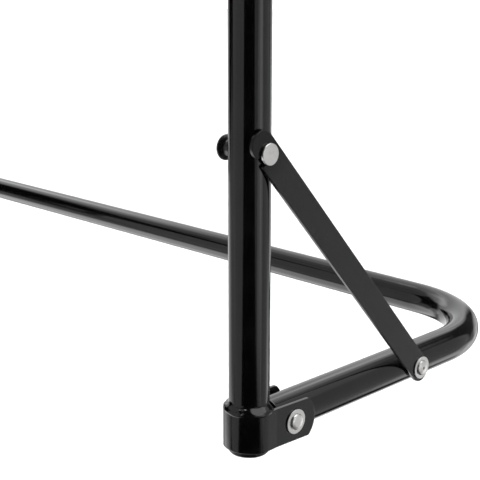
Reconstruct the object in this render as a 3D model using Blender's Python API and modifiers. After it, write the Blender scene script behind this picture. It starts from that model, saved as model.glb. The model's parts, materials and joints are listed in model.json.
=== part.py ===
"""Wall mounted fold down drying rack.

Two posts and a top rail are one bent tube, held off the wall by four strip saddles. A U-shaped swing
frame is hinged between the ears of a strip bracket at the foot of each post. It is held level by two
flat stays, which are riveted to its arms and hook over headed studs in the posts. With the stays lifted
off the studs and laid along the arms, the swing frame folds down and hangs below the posts.

Metres, +Z up, the wall is the plane y = 0 and the rack stands in front of it, towards -Y. The origin is
on the wall, halfway between the posts and halfway between the upper and lower saddles.
"""

import math

import bmesh
import bpy
from mathutils import Vector

NAME = "wall_drying_rack"

# Tubes
TUBE_R = 0.0125
TUBE_WALL = 0.0015
BEND_R = 0.083
POST_SPAN = 0.875          # post axis to post axis
ARM_REACH = 0.2594         # hinge axis to the axis of the front rail
ARM_END_GAP = 0.0028       # post to the end of the arm
TOP_RAIL_RISE = 0.520      # arm axis to the axis of the top rail
POST_FOOT_DROP = TUBE_R + 0.0007    # arm axis down to the open foot of the post

# Gaps
SEAT_GAP = 0.0003          # a strip beside a tube
FACE_GAP = 0.0002          # flat faces on one another
HOLE_GAP = 0.00025         # round a shank in its hole

# Places
WALL_TO_POST = 0.0325      # wall to post axis
HINGE_OUT = 2 * TUBE_R     # post axis to hinge axis
HINGE_DROP = 0.0005        # the pivot hole is drilled this far below the arm's axis
STAY_OUT = 0.129           # hinge axis to the stay's pivot
STUD_RISE = 0.169          # arm axis to the studs
SADDLE_RISES = {"lower": 0.290, "upper": 0.410}

# Strip, for brackets, saddles and stays
SHEET = 0.0025
STRIP_HALF = TUBE_R        # half the height of the hinge bracket's strip
BAND_PLAY = 0.0010         # between the post and the band round it, filled by the weld
NECK_ANGLE = math.radians(5)
EAR_DROOP = math.radians(2)
EAR_REACH = 0.0182         # hinge axis to the tip of the ear
EAR_NOSE_R = 1.34 * STRIP_HALF
EAR_CORNER = 0.0018
WELD_R = 0.00185

# Saddles
SADDLE_HALF = 0.0125
SADDLE_CORNER = 0.005
FOOT_HALF_SPAN = 0.040
FOOT_BEND = 0.0015         # inner radius
SCREW_HALF_SPACING = 0.028

# Stays
STAY_HALF = 0.00875
STAY_FOOT = 0.00975        # beyond the pivot
STAY_HEAD = 0.0155         # beyond the stud
PIVOT_OFFSET = 0.0010      # the pivot hole's distance from the centre line, towards the front edge
SEAT_OFFSET = 0.0003       # the seat's, towards the back edge
SLOT_TILT = math.radians(9.7)
SLOT_PLAY = 0.0004         # the slot is this much wider than its seat, on the pivot's side
SLOT_LIP = 0.0004          # the seat is sunk this far into the slot's other wall
TIP_CORNER = 0.0018
JAW_CORNER = 0.0010

# Shanks and heads
STUD_R = 0.0030
STUD_HEAD_R = 0.0064
STUD_HEAD_H = 0.0017
PEG_R = 0.0077
PEG_HUB_R = 0.0048
PEG_LENGTH = 0.0087
PEG_BORE_DEPTH = 0.0060
HINGE_R = 0.0040
HINGE_HEAD_R = 0.0051
HINGE_HEAD_H = 0.0014
WASHER_R = 0.0079
WASHER_T = 0.0008
BLIND_R = 0.0024
BLIND_HEAD_R = 0.0053
BLIND_HEAD_H = 0.0014
MANDREL_R = 0.0009
SCREW_R = 0.0021
SCREW_HEAD_R = 0.0044
SCREW_HEAD_H = 0.0026
SCREW_IN_WALL = 0.038
CAP_FLANGE = 0.0035
CAP_PLUG_DEPTH = 0.013
CAP_WALL = 0.0016
CAP_RIB = 0.0007

TUBE_ROUND = 8             # bevel resolution, for a round of 4 + 2 * 8 = 20 sides
BEND_STEPS = 10

# Where the axes are
POST_Y = -WALL_TO_POST
ARM_Z = -sum(SADDLE_RISES.values()) / len(SADDLE_RISES)
HINGE_Y = POST_Y - HINGE_OUT
HINGE_Z = ARM_Z - HINGE_DROP
RAIL_Y = HINGE_Y - ARM_REACH
STAY_Y = HINGE_Y - STAY_OUT
STUD_Z = ARM_Z + STUD_RISE
STRIP_X = TUBE_R + SEAT_GAP + SHEET / 2    # middle of a strip that lies beside a tube
STRIP_FACE = TUBE_R + SEAT_GAP + SHEET     # its outer face
WASHER_IN = STRIP_FACE + FACE_GAP
HEAD_IN = WASHER_IN + WASHER_T + FACE_GAP

SIDES = {"left": -1, "right": 1}
ALONG_Y = (math.pi / 2, 0, 0)              # an outline's plane is XZ
TO_FRONT = ALONG_Y                         # a turned piece's axis runs towards -Y


# Collections, materials and joined pieces -----------------------------------------------------

def clear_scene():
    for obj in list(bpy.data.objects):
        bpy.data.objects.remove(obj)


def collection(name):
    made = bpy.data.collections.new(name)
    bpy.context.scene.collection.children.link(made)
    return made


def material(name, colour, roughness, metallic=0.0, coat=0.0):
    made = bpy.data.materials.new(name)
    made.use_nodes = True
    shader = made.node_tree.nodes["Principled BSDF"]
    shader.inputs["Base Color"].default_value = (*colour, 1)
    shader.inputs["Roughness"].default_value = roughness
    shader.inputs["Metallic"].default_value = metallic
    shader.inputs["Coat Weight"].default_value = coat
    return made


clear_scene()
PARTS = collection(NAME)
CUTTERS = collection("cutters")
PAINT = material("gloss_black_paint", (0.012, 0.012, 0.013), 0.18, coat=0.6)
STRIP_PAINT = material("satin_black_paint", (0.020, 0.020, 0.021), 0.32)
ZINC = material("zinc_plate", (0.66, 0.66, 0.67), 0.30, metallic=1.0)
PLASTIC = material("black_plastic", (0.018, 0.018, 0.018), 0.42)


def add(name, mesh, place=(0, 0, 0), turn=(0, 0, 0), look=None):
    """A new object among the parts, or among the cutters where it has no material."""
    obj = bpy.data.objects.new(name, mesh)
    obj.location = place
    obj.rotation_euler = turn
    if look is None:
        CUTTERS.objects.link(obj)
        obj.hide_render = True
        obj.display_type = "WIRE"
    else:
        PARTS.objects.link(obj)
        mesh.materials.clear()
        mesh.materials.append(look)
    return obj


def smooth(mesh):
    mesh.shade_smooth()
    mesh.set_sharp_from_angle(angle=math.radians(35))


def mesh_of_curve(curve):
    """The curve's surface as a mesh with its loose caps welded on."""
    holder = bpy.data.objects.new("curve_being_meshed", curve)
    bpy.context.scene.collection.objects.link(holder)
    graph = bpy.context.evaluated_depsgraph_get()
    mesh = bpy.data.meshes.new_from_object(holder.evaluated_get(graph))
    bpy.data.objects.remove(holder)
    weld(mesh)
    return mesh


def weld(mesh):
    work = bmesh.new()
    work.from_mesh(mesh)
    bmesh.ops.remove_doubles(work, verts=work.verts, dist=1e-6)
    work.to_mesh(mesh)
    work.free()


def boolean(obj, other, operation):
    change = obj.modifiers.new(other.name, "BOOLEAN")
    change.operation = operation
    change.solver = "EXACT"
    change.object = other


def joint_axis(name, place):
    axis = bpy.data.objects.new(name, None)
    axis.location = place
    PARTS.objects.link(axis)
    return axis


def ride(obj, axis):
    """Parents a piece to the empty on its joint's axis and leaves it where it is."""
    obj.location = obj.location - axis.location
    obj.parent = axis


# Outlines and profiles ----------------------------------------------------------------------------

def arc(centre, radius, start, end, steps):
    """Points round a centre, from one angle to another."""
    angles = [start + (end - start) * i / steps for i in range(steps + 1)]
    return [(centre[0] + radius * math.cos(a), centre[1] + radius * math.sin(a)) for a in angles]


def rounded(corners, step=math.radians(15)):
    """A closed outline from (x, y, corner radius)."""
    points = []
    for i, (x, y, radius) in enumerate(corners):
        here = Vector((x, y))
        if radius == 0:
            points.append((x, y))
            continue
        to_last = (Vector(corners[i - 1][:2]) - here).normalized()
        to_next = (Vector(corners[(i + 1) % len(corners)][:2]) - here).normalized()
        half = to_last.angle(to_next) / 2
        centre = here + (to_last + to_next).normalized() * radius / math.sin(half)
        first = here + to_last * radius / math.tan(half) - centre
        last = here + to_next * radius / math.tan(half) - centre
        start = math.atan2(first.y, first.x)
        sweep = math.atan2(first.cross(last), first.dot(last))
        points += arc(centre, radius, start, start + sweep, max(1, round(abs(sweep) / step)))
    pairs = zip(points, points[1:] + points[:1])
    return [here for here, following in pairs if math.dist(here, following) > 1e-7]


def curve_of(points, closed, **settings):
    curve = bpy.data.curves.new("outline", "CURVE")
    for key, value in settings.items():
        setattr(curve, key, value)
    spline = curve.splines.new("POLY")
    spline.points.add(len(points) - 1)
    for point, place in zip(spline.points, points):
        point.co = (*place, 0, 1) if len(place) == 2 else (*place, 1)
    spline.use_cyclic_u = closed
    return curve


def slab(outline, thickness):
    """A flat outline made as thick as given, half on each side of its plane."""
    return mesh_of_curve(curve_of(outline, True, dimensions="2D", fill_mode="BOTH", extrude=thickness / 2))


def ribbon(path, height):
    """A strip standing on edge along an open path."""
    return mesh_of_curve(curve_of(path, False, dimensions="2D", fill_mode="NONE", extrude=height / 2))


def tube_skin(path):
    """The open outer surface of a tube along a path of points in space."""
    return mesh_of_curve(curve_of(
        path, False, dimensions="3D", fill_mode="FULL", bevel_depth=TUBE_R, bevel_resolution=TUBE_ROUND))


def turned(name, profile, place, turn, look, steps=14):
    """A turned piece. The profile is (radius, height), down its outer side, from axis to axis or closed."""
    edges = [(i, i + 1) for i in range(len(profile) - 1)]
    if profile[0][0] > 0:
        edges.append((len(profile) - 1, 0))
    mesh = bpy.data.meshes.new(name)
    mesh.from_pydata([(r, 0, h) for r, h in profile], edges, [])
    obj = add(name, mesh, place, turn, look)
    screw = obj.modifiers.new("turn", "SCREW")
    screw.steps = steps
    screw.render_steps = steps
    screw.use_merge_vertices = True
    screw.merge_threshold = 0.00005
    screw.use_smooth_shade = True
    return obj


def outwards(side):
    """Turns a turned piece's axis from +Z to the rack's left or right."""
    return (0, side * math.pi / 2, 0)


def sideways(tilt=0):
    """Turns an outline's plane to YZ, with the outline itself tilted from +Y towards +Z."""
    return (math.pi / 2, -tilt, math.pi / 2)


def at(side, outward, y, z):
    """A place so far outwards from a post's or an arm's axis."""
    return (side * (POST_SPAN / 2 + outward), y, z)


def drill(name, radius, length, place, turn):
    """A cutter for a round hole, with its middle at the place."""
    profile = [(0, length / 2), (radius, length / 2), (radius, -length / 2), (0, -length / 2)]
    return turned(name, profile, place, turn, None)


def thicken(obj, thickness, offset):
    wall = obj.modifiers.new("wall", "SOLIDIFY")
    wall.thickness = thickness
    wall.offset = offset
    wall.use_even_offset = True


# Tubes --------------------------------------------------------------------------------------------

def u_path(leg_end, rail):
    """A U in the plane of X and one other axis: up one leg, round a bend, across and back."""
    way = 1 if rail > leg_end else -1
    half = [(-POST_SPAN / 2, leg_end)]
    for i in range(BEND_STEPS + 1):
        turn = math.pi / 2 * i / BEND_STEPS
        across = -POST_SPAN / 2 + BEND_R * (1 - math.cos(turn))
        half.append((across, rail - way * BEND_R * (1 - math.sin(turn))))
    return half + [(-across, along) for across, along in reversed(half)]


def rear_frame(axis_z):
    path = [(x, POST_Y, z) for x, z in u_path(ARM_Z - POST_FOOT_DROP, axis_z)]
    tube = add("rear_frame_tube", tube_skin(path), look=PAINT)
    thicken(tube, TUBE_WALL, -1)
    for side in SIDES.values():
        place = at(side, 0, POST_Y, STUD_Z)
        hole = drill("stud_drill", STUD_R + HOLE_GAP, 4 * TUBE_R, place, outwards(side))
        boolean(tube, hole, "DIFFERENCE")
        for rise in SADDLE_RISES.values():
            place = at(side, 0, POST_Y - TUBE_R, ARM_Z + rise)
            hole = drill("saddle_drill", BLIND_R + HOLE_GAP, TUBE_R, place, ALONG_Y)
            boolean(tube, hole, "DIFFERENCE")
    return tube


def arm_relief(side):
    """What is cut from the arm's lower corner, so that its end swings clear of the post."""
    radius = HINGE_OUT - TUBE_R - 1.3 * SEAT_GAP
    far = 2 * radius
    outline = arc((0, 0), radius, -math.pi / 2, -math.radians(20), 8) + [(far, 0), (far, -far), (0, -far)]
    return add("arm_relief", slab(outline, 4 * TUBE_R), at(side, 0, HINGE_Y, HINGE_Z), sideways())


def swing_frame():
    path = [(x, y, ARM_Z) for x, y in u_path(POST_Y - TUBE_R - ARM_END_GAP, RAIL_Y)]
    tube = add("swing_frame_tube", tube_skin(path), look=PAINT)
    thicken(tube, TUBE_WALL, -1)
    for side in SIDES.values():
        boolean(tube, arm_relief(side), "DIFFERENCE")
        place = at(side, 0, HINGE_Y, HINGE_Z)
        hole = drill("hinge_drill", HINGE_R + HOLE_GAP, 4 * TUBE_R, place, outwards(side))
        boolean(tube, hole, "DIFFERENCE")
        place = at(side, TUBE_R, STAY_Y, ARM_Z)
        hole = drill("stay_drill", BLIND_R + HOLE_GAP, TUBE_R, place, outwards(side))
        boolean(tube, hole, "DIFFERENCE")
    return tube


# Hinge at the foot of each post -------------------------------------------------------------------

def bracket_path():
    """The strip's centre line, seen from above and centred on the post: ear, neck, band, neck, ear."""
    band = TUBE_R + BAND_PLAY + SHEET / 2
    neck = -band * math.sin(NECK_ANGLE) - (band * math.cos(NECK_ANGLE) - STRIP_X) / math.tan(NECK_ANGLE)
    tip = -HINGE_OUT - 2 * EAR_REACH
    round_post = arc((0, 0), band, -NECK_ANGLE, math.pi + NECK_ANGLE, 16)
    return [(STRIP_X, tip), (STRIP_X, neck)] + round_post + [(-STRIP_X, neck), (-STRIP_X, tip)]


def bracket_side():
    """The bracket seen from the side, centred on the post: a level strip with a curved nose."""
    centre = (-HINGE_OUT - EAR_REACH + EAR_NOSE_R, 0)
    spread = math.asin(STRIP_HALF / EAR_NOSE_R)
    nose = arc(centre, EAR_NOSE_R, math.pi - spread, math.pi + spread, 12)
    corners = [(*nose[0], EAR_CORNER), *((y, z, 0) for y, z in nose[1:-1]), (*nose[-1], EAR_CORNER)]
    back = 2 * TUBE_R
    return rounded([(back, -STRIP_HALF, 0), (back, STRIP_HALF, 0)] + corners)


def hinge_bracket(name, side):
    place = at(side, 0, POST_Y, ARM_Z)
    bracket = add(f"hinge_bracket_{name}", ribbon(bracket_path(), 4 * STRIP_HALF), place, look=PAINT)
    thicken(bracket, SHEET, 0)
    outline = add("bracket_outline", slab(bracket_side(), 4 * TUBE_R), place, sideways(EAR_DROOP))
    boolean(bracket, outline, "INTERSECT")
    hole = drill("ear_drill", HINGE_R + HOLE_GAP, 4 * TUBE_R, at(side, 0, HINGE_Y, HINGE_Z), outwards(side))
    boolean(bracket, hole, "DIFFERENCE")
    bead_r = TUBE_R + 1.2 * SEAT_GAP + WELD_R
    bead = curve_of(
        arc((0, 0), bead_r, -math.radians(25), math.radians(205), 16), False,
        dimensions="3D", fill_mode="FULL", bevel_depth=WELD_R, bevel_resolution=1, use_fill_caps=True)
    rise = STRIP_HALF + WELD_R / 2
    bead_place = (place[0], place[1], place[2] + rise)
    weld_bead = add("weld_bead", mesh_of_curve(bead), bead_place, (EAR_DROOP, 0, 0))
    boolean(bracket, weld_bead, "UNION")


def dome(radius, height, base, top_r=0):
    """A head's profile from its top to its underside, round with a short upright edge."""
    edge = 0.35 * height
    start = math.asin(top_r / radius)
    angles = [start + (math.pi / 2 - start) * i / 3 for i in range(4)]
    curve = [(radius * math.sin(t), base + edge + (height - edge) * math.cos(t)) for t in angles]
    return curve + [(radius, base)]


def mirrored_profile(profile):
    return [(r, -h) for r, h in reversed(profile)]


def hinge_rivet(name, side):
    head = dome(HINGE_HEAD_R, HINGE_HEAD_H, HEAD_IN) + [(HINGE_R, HEAD_IN)]
    place = at(side, 0, HINGE_Y, HINGE_Z)
    turned(f"hinge_rivet_{name}", head + mirrored_profile(head), place, outwards(side), ZINC)


def washer(name, bore, place, turn):
    """A flat washer with its inner face at the place."""
    profile = [(bore, 0), (bore, WASHER_T), (WASHER_R, WASHER_T), (WASHER_R, 0)]
    return turned(name, profile, place, turn, ZINC, steps=18)


def hinge_washers(name, side):
    bore = HINGE_R + HOLE_GAP
    washer(f"hinge_washer_outer_{name}", bore, at(side, WASHER_IN, HINGE_Y, HINGE_Z), outwards(side))
    washer(f"hinge_washer_inner_{name}", bore, at(side, -WASHER_IN, HINGE_Y, HINGE_Z), outwards(-side))


def post_cap(name, side):
    """A plastic insert: a hollow plug with three ribs, open upwards, and a flange flush with the tube."""
    plug_r = TUBE_R - TUBE_WALL - HOLE_GAP
    core_r = plug_r - CAP_RIB
    top = CAP_PLUG_DEPTH
    cavity_r = core_r - CAP_WALL
    profile = [(0, 0), (cavity_r, 0), (cavity_r, top), (core_r, top)]
    for i in range(3):
        rib = top * (0.8 - 0.28 * i)
        profile += [(core_r, rib + CAP_RIB), (plug_r, rib), (core_r, rib - CAP_RIB)]
    edge = 0.3 * CAP_FLANGE
    profile += [(core_r, -FACE_GAP), (TUBE_R, -FACE_GAP), (TUBE_R, edge - CAP_FLANGE)]
    profile += [(TUBE_R - edge / 3, -CAP_FLANGE + edge / 3), (TUBE_R - edge, -CAP_FLANGE), (0, -CAP_FLANGE)]
    place = at(side, 0, POST_Y, ARM_Z - POST_FOOT_DROP)
    turned(f"post_cap_{name}", profile, place, (0, 0, 0), PLASTIC, steps=18)


# Stays and what they hook on ----------------------------------------------------------------------

def stay_length():
    return math.hypot(STAY_OUT + HINGE_OUT, STUD_RISE)


def stay_outline():
    """The stay laid along x, from its pivot at the origin, with its back edge on the side of -y.

    The slot runs in from the back edge, leaning towards the hook's end, to a round seat for the stud.
    The seat is sunk into the wall on the hook's side, so that a loaded stay can't slide off its stud.
    """
    seat_r = STUD_R + HOLE_GAP
    offset = PIVOT_OFFSET + SEAT_OFFSET
    seat = Vector((math.sqrt(stay_length() ** 2 - offset ** 2), -offset))
    across = Vector((math.cos(SLOT_TILT), math.sin(SLOT_TILT)))
    out = Vector((math.sin(SLOT_TILT), -math.cos(SLOT_TILT)))
    front = STAY_HALF - PIVOT_OFFSET
    back = -STAY_HALF - PIVOT_OFFSET
    head = seat.x + STAY_HEAD

    def mouth(wall):
        """Where a wall of the slot, so far across from the seat's centre, meets the back edge."""
        start = seat + wall * across
        return (start + (back - start.y) / out.y * out).x

    slot = arc((0, 0), seat_r, math.acos(1 - SLOT_LIP / seat_r), -math.pi / 2, 9)
    slot += arc((-SLOT_PLAY, 0), seat_r, -math.pi / 2, -math.pi, 6)
    slot = [seat + n * across + d * out for n, d in slot]
    corners = [(head, front, STAY_HALF), (head, back, STAY_HALF)]
    corners.append((mouth(seat_r - SLOT_LIP), back, TIP_CORNER))
    corners += [(x, y, 0) for x, y in slot]
    corners += [(mouth(-seat_r - SLOT_PLAY), back, JAW_CORNER), (-STAY_FOOT, back, STAY_HALF)]
    return rounded(corners + [(-STAY_FOOT, front, STAY_HALF)])


def stay(name, side):
    lean = math.atan2(STUD_RISE, STAY_OUT + HINGE_OUT)
    skew = math.asin((PIVOT_OFFSET + SEAT_OFFSET) / stay_length())
    place = at(side, STRIP_X, STAY_Y, ARM_Z)
    strip = add(f"stay_{name}", slab(stay_outline(), SHEET), place, sideways(lean + skew), STRIP_PAINT)
    boolean(strip, drill("pivot_drill", BLIND_R + HOLE_GAP, TUBE_R, place, outwards(side)), "DIFFERENCE")
    return strip


def blind_rivet(name, head_r, head_h, seat, place, turn):
    """A blind rivet through a tube's wall, placed on the tube's axis with its head seated so far out.

    It has a domed head, the mandrel's hole, and a bulb inside the tube.
    """
    bulb_r = 1.5 * BLIND_R
    bulb = math.sqrt((TUBE_R - TUBE_WALL) ** 2 - bulb_r ** 2) - SEAT_GAP
    hole = seat - head_h
    head = [(0, hole), (MANDREL_R, hole)] + dome(head_r, head_h, seat, MANDREL_R)
    tail = [(BLIND_R, seat), (BLIND_R, bulb), (bulb_r, bulb - 0.0008), (bulb_r, bulb - 0.0025),
            (0.8 * BLIND_R, bulb - 0.0045), (0, bulb - 0.0045)]
    return turned(name, head + tail, place, turn, ZINC)


def stay_fastening(name, side):
    place = at(side, 0, STAY_Y, ARM_Z)
    rivet = blind_rivet(f"stay_rivet_{name}", BLIND_HEAD_R, BLIND_HEAD_H, HEAD_IN, place, outwards(side))
    bore = BLIND_R + HOLE_GAP
    ring = washer(f"stay_washer_{name}", bore, at(side, WASHER_IN, STAY_Y, ARM_Z), outwards(side))
    return rivet, ring


def stay_stud(name, side):
    base = STRIP_FACE + FACE_GAP
    end = -TUBE_R - PEG_BORE_DEPTH      # short of the bore's end by the peg's gap from the tube
    edge = 0.0003
    head = [(0, base + STUD_HEAD_H), (0.6 * STUD_HEAD_R, base + 0.96 * STUD_HEAD_H),
            (STUD_HEAD_R - edge, base + 0.78 * STUD_HEAD_H), (STUD_HEAD_R, base + 0.6 * STUD_HEAD_H),
            (STUD_HEAD_R, base)]
    shank = [(STUD_R, base), (STUD_R, end + edge), (STUD_R - edge, end), (0, end)]
    turned(f"stay_stud_{name}", head + shank, at(side, 0, POST_Y, STUD_Z), outwards(side), ZINC, steps=16)


def stud_peg(name, side):
    """A flanged peg on the stud's inner end, mushroom-shaped, with a blind bore for the stud."""
    bore_r = STUD_R + HOLE_GAP
    top = PEG_LENGTH
    profile = [(0, top), (0.45 * PEG_R, 0.98 * top), (0.8 * PEG_R, 0.9 * top), (PEG_R, 0.8 * top)]
    profile += [(PEG_R, 0.68 * top), (0.85 * PEG_R, 0.56 * top), (PEG_HUB_R, 0.44 * top), (PEG_HUB_R, 0)]
    profile += [(bore_r, 0), (bore_r, PEG_BORE_DEPTH), (0, PEG_BORE_DEPTH)]
    place = at(side, -TUBE_R - SEAT_GAP, POST_Y, STUD_Z)
    turned(f"stud_peg_{name}", profile, place, outwards(-side), PLASTIC, steps=16)


# Wall fixings -------------------------------------------------------------------------------------

def saddle_path():
    """The strip's centre line, seen from above and centred on the post: foot, leg, front, leg, foot."""
    bend = FOOT_BEND + SHEET / 2
    foot_y = WALL_TO_POST - SHEET / 2
    half = [(-FOOT_HALF_SPAN - SADDLE_CORNER, foot_y)]
    half += arc((-STRIP_X - bend, foot_y - bend), bend, math.pi / 2, 0, 3)
    half += arc((0, 0), STRIP_X, math.pi, 1.5 * math.pi, 7)
    return half[:-1] + [(-x, y) for x, y in reversed(half)]


def wall_saddle(name, side, rise):
    place = at(side, 0, POST_Y, ARM_Z + rise)
    saddle = add(f"wall_saddle_{name}", ribbon(saddle_path(), 4 * SADDLE_HALF), place, look=STRIP_PAINT)
    thicken(saddle, SHEET, 0)
    corners = [(x, z, SADDLE_CORNER) for x, z in (
        (-FOOT_HALF_SPAN, -SADDLE_HALF), (FOOT_HALF_SPAN, -SADDLE_HALF),
        (FOOT_HALF_SPAN, SADDLE_HALF), (-FOOT_HALF_SPAN, SADDLE_HALF))]
    front = add("saddle_outline", slab(rounded(corners), 4 * WALL_TO_POST), place, ALONG_Y)
    boolean(saddle, front, "INTERSECT")
    for offset in (-SCREW_HALF_SPACING, SCREW_HALF_SPACING):
        hole_place = (place[0] + offset, -SHEET / 2, place[2])
        hole = drill("screw_drill", SCREW_R + 2 * HOLE_GAP, 4 * SHEET, hole_place, ALONG_Y)
        boolean(saddle, hole, "DIFFERENCE")
    crown = (place[0], POST_Y - STRIP_X, place[2])
    hole = drill("crown_drill", BLIND_R + HOLE_GAP, 3 * SHEET, crown, ALONG_Y)
    boolean(saddle, hole, "DIFFERENCE")
    blind_rivet(f"saddle_rivet_{name}", 1.7 * BLIND_R, 0.0011, STRIP_FACE + FACE_GAP, place, TO_FRONT)


def wall_screw(name, x, z):
    seat = -SHEET - FACE_GAP
    point = 2 * SCREW_R
    radii = {0: 1, 0.5: 0.93, 0.85: 0.65, 1: 0.25}
    head = [(out * SCREW_HEAD_R, up * SCREW_HEAD_H) for out, up in radii.items()] + [(SCREW_HEAD_R, 0)]
    length = SCREW_IN_WALL - seat
    profile = head + [(SCREW_R, 0), (SCREW_R, point - length), (0, -length)]
    turned(f"wall_screw_{name}", profile, (x, seat, z), TO_FRONT, ZINC, steps=12)


def wall_fixings():
    for level, rise in SADDLE_RISES.items():
        for name, side in SIDES.items():
            wall_saddle(f"{level}_{name}", side, rise)
            for end, offset in {"inner": -SCREW_HALF_SPACING, "outer": SCREW_HALF_SPACING}.items():
                x, _, z = at(side, offset, 0, ARM_Z + rise)
                wall_screw(f"{level}_{name}_{end}", x, z)


# The rack -----------------------------------------------------------------------------------------

def build():
    rear_frame(ARM_Z + TOP_RAIL_RISE)
    swing_axis = joint_axis("swing_axis", (0, HINGE_Y, HINGE_Z))
    ride(swing_frame(), swing_axis)
    for name, side in SIDES.items():
        hinge_bracket(name, side)
        hinge_rivet(name, side)
        hinge_washers(name, side)
        post_cap(name, side)
        stay_stud(name, side)
        stud_peg(name, side)
        ride(stay(name, side), swing_axis)
        for fastener in stay_fastening(name, side):
            ride(fastener, swing_axis)
    wall_fixings()
    for obj in PARTS.objects:
        if obj.type == "MESH" and obj.data.polygons:
            smooth(obj.data)


build()
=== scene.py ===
"""Looks of the wall mounted fold down drying rack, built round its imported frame.

The tubes, strips and turned fasteners are smooth surfaces worked out as whole numpy arrays and laid where
the frame says. Lengths are millimetres, apart from those of the finishes and the stage, which are metres.
"""

import json
import math

import bmesh
import bpy
import numpy as np
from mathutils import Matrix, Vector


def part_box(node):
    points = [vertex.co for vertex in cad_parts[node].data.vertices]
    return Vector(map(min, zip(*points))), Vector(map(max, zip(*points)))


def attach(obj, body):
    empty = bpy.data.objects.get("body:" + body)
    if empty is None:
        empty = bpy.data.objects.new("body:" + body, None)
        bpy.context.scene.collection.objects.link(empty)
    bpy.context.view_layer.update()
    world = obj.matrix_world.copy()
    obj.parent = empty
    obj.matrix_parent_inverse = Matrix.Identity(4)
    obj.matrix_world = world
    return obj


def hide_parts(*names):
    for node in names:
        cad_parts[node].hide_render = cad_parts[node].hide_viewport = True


bl_info = {
    "name": "Wall Drying Rack",
    "version": (1, 0, 0),
    "blender": (4, 5, 0),
    "location": "View3D > Sidebar > Rack",
    "description": "Builds a wall mounted fold down drying rack, its finishes and its studio stage",
    "category": "Add Mesh",
}

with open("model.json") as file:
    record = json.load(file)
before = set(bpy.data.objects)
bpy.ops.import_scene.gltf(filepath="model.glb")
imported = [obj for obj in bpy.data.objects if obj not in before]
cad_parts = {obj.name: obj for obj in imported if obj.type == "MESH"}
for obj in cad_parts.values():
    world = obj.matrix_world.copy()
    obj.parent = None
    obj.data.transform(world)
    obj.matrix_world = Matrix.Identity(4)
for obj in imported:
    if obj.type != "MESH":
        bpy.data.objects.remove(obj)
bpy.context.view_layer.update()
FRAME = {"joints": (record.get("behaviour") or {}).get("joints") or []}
SIDES = {"left": -1.0, "right": 1.0}
LEVELS = ("upper", "lower")
X, Y, Z = np.eye(3)
MM = 0.001  # metres


def box_of(node):
    """The lowest and the highest corner of a node's box."""
    return np.array(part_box(node)) / MM


def middle(node):
    """The middle of a node's box."""
    return box_of(node).mean(axis=0)


def half_size(node):
    """Half the width of a node's box along x, y and z."""
    low, high = box_of(node)
    return (high - low) / 2


def outer_face(node):
    """How far a node reaches out of the rack's middle plane."""
    return np.abs(box_of(node))[:, 0].max()


def joint_place(name):
    """Where a joint's axis passes."""
    found = [joint for joint in FRAME["joints"] if joint["name"] == name]
    return np.array(found[0]["pos_m"]) / MM


REAR_BOX = box_of("rear_frame_tube")
SWING_BOX = box_of("swing_frame_tube")
TUBE_RADIUS = half_size("rear_frame_tube")[1]
POST_X = REAR_BOX[1][0] - TUBE_RADIUS
POST_Y = middle("rear_frame_tube")[1]
RAIL_Z = REAR_BOX[1][2] - TUBE_RADIUS
ARM_Z = middle("swing_frame_tube")[2]
RAIL_Y = SWING_BOX[0][1] + TUBE_RADIUS
HINGE = joint_place("frame_fold")
STAY_PIVOT = joint_place("stay_left_swing")
BORE_PLAY = 0.25  # between a shank and the hole round it
HEAD_GAP = 0.2  # under a rivet's head


# Settings


def maker(kind, ending="", **fixed):
    """A function that makes properties of one kind from a name, a description and a default."""
    def make(name, description, default):
        return kind(name=name, description=description + ending, default=default, **fixed)
    return make


size = maker(bpy.props.FloatProperty, ", mm", min=0.0)
distance = maker(bpy.props.FloatProperty, unit="LENGTH")
angle = maker(bpy.props.FloatProperty, subtype="ANGLE")
factor = maker(bpy.props.FloatProperty, subtype="FACTOR", min=0.0, max=1.0)
count = maker(bpy.props.IntProperty, min=3)
colour = maker(bpy.props.FloatVectorProperty, subtype="COLOR", size=3, min=0.0, max=1.0)
position = maker(bpy.props.FloatVectorProperty, subtype="TRANSLATION", size=3)


class RackFinishSettings(bpy.types.PropertyGroup):
    """Colours and gloss of the rack's finishes."""

    tube_paint: colour("Tube paint", "Gloss black paint of both tubes", (0.0018, 0.0018, 0.0019))
    tube_roughness: factor("Tube roughness", "Roughness of the tubes' paint", 0.09)
    strip_paint: colour("Strip paint", "Satin black paint of stays and saddles", (0.013, 0.013, 0.0134))
    strip_roughness: factor("Strip roughness", "Roughness of the strips' paint", 0.22)
    zinc: colour("Zinc plate", "Colour of the rivets, washers, studs and screws", (0.74, 0.735, 0.72))
    zinc_roughness: factor("Zinc roughness", "Roughness of the zinc plate", 0.36)
    plastic: colour("Plastic", "Moulded black plastic of the post caps and pegs", (0.006, 0.006, 0.006))


class RackTubeSettings(bpy.types.PropertyGroup):
    """The two bent tubes."""

    wall: size("Wall", "Thickness of the tube's wall", 1.5)
    bend_radius: size("Bend radius", "Radius of the bends on the tube's axis", 83.0)
    lip: size("Lip", "Rounding of the cut ends", 0.35)
    oval: factor("Oval", "Share of its radius that the tube loses across the middle of a bend", 0.012)
    relief: size("Relief", "Radius about the hinge that the arm's lower corner is cut to", 12.1)
    around: count("Around", "Sides round the tube", 96)
    bend_steps: count("Bend steps", "Steps along each bend", 32)


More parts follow.
